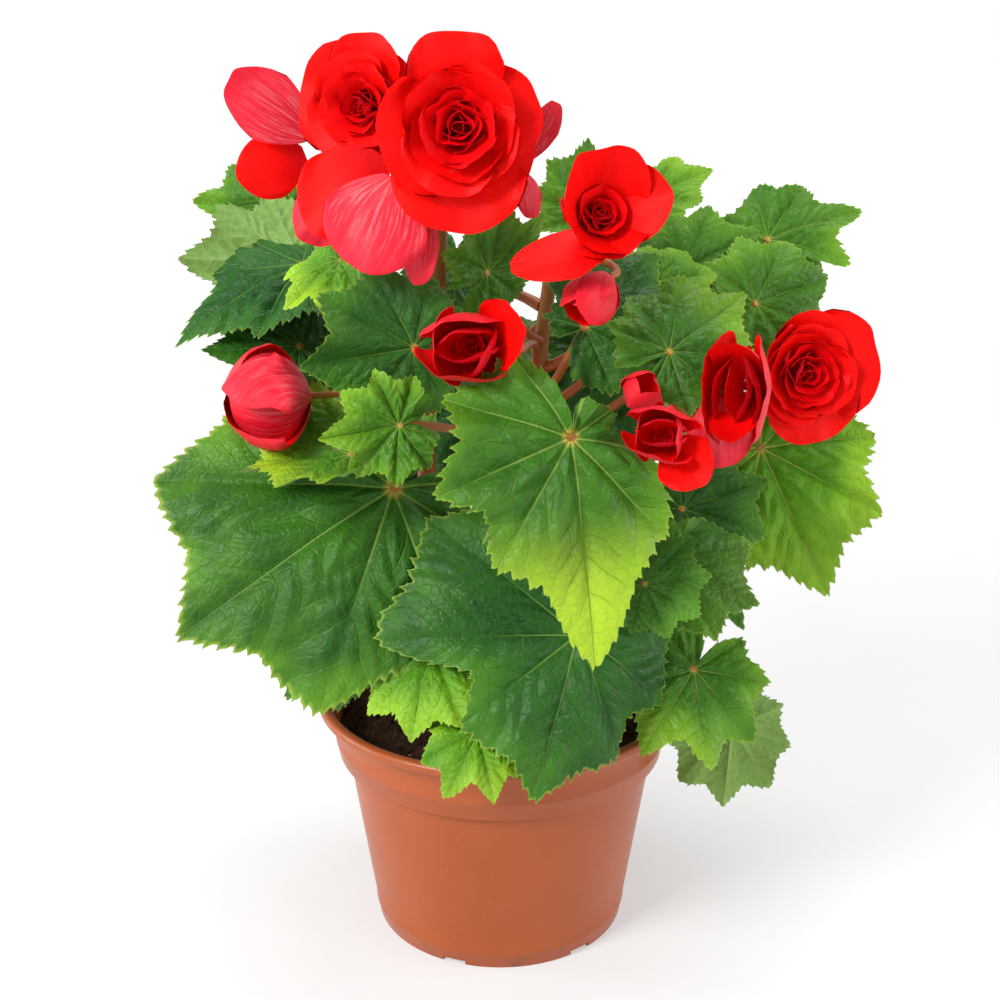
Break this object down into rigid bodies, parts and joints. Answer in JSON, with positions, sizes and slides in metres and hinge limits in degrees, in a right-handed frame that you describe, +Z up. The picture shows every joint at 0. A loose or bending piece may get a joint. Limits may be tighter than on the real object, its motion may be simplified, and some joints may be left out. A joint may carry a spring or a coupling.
{
  "type": "potted begonia",
  "caption": "Double-flowered begonia with lobed, toothed leaves, growing in compost in a tapered round plastic nursery pot with a band and rolled lip.",
  "frame": {"origin": "centre of the pot's base, on the plane it stands on", "axes": "+Z up the pot's axis; -Y towards the side the plant shows best, with the large front leaves and the main flower; +X to the right seen from that side"},
  "size_m": [0.2622, 0.2376, 0.3365],
  "materials": {
    "terracotta": "matte",
    "compost": "matte",
    "stem": "satin",
    "leaf": "satin",
    "petal": "satin"
  },
  "bodies": {
    "root": {"bloom_centre": "petal", "bloom_right_half": "petal", "bloom_right_small": "petal", "bloom_side": "petal", "bloom_upper_right": "petal", "bud_left": "petal", "leaf_back_left": "leaf", "leaf_back_low_left": "leaf", "leaf_back_low_right": "leaf", "leaf_back_middle": "leaf", "leaf_back_right": "leaf", "leaf_centre_dark": "leaf", "leaf_front_centre": "leaf", "leaf_front_grey": "leaf", "leaf_front_low": "leaf", "leaf_left_curled": "leaf", "leaf_left_dark": "leaf", "leaf_left_low": "leaf", "leaf_left_pale": "leaf", "leaf_left_round": "leaf", "leaf_left_top": "leaf", "leaf_left_upper": "leaf", "leaf_left_yellow": "leaf", "leaf_left_young": "leaf", "leaf_low_left": "leaf", "leaf_middle_top": "leaf", "leaf_peak": "leaf", "leaf_peak_right": "leaf", "leaf_right_big": "leaf", "leaf_right_dark": "leaf", "leaf_right_hanging": "leaf", "leaf_right_inner": "leaf", "leaf_right_light": "leaf", "leaf_right_low": "leaf", "leaf_right_mid": "leaf", "leaf_right_peak": "leaf", "leaf_right_pleated": "leaf", "leaf_right_upper": "leaf", "leaf_rim": "leaf", "petal_left_red": "petal", "petal_left_upper": "petal", "petal_under_large": "petal", "pot": "terracotta", "rose_left_heart": "petal", "rose_left_petal_left": "petal", "rose_left_petal_top": "petal", "rose_right_heart": "petal", "rose_right_petal_left": "petal", "rose_right_petal_low": "petal", "rose_right_petal_top": "petal", "rose_top_heart": "petal", "rose_top_petal_left": "petal", "rose_top_petal_low": "petal", "rose_top_petal_right": "petal", "rose_top_petal_top": "petal", "soil": "compost", "stem_back": "stem", "stem_centre": "stem", "stem_left": "stem", "stem_right": "stem"}
  },
  "joints": []
}
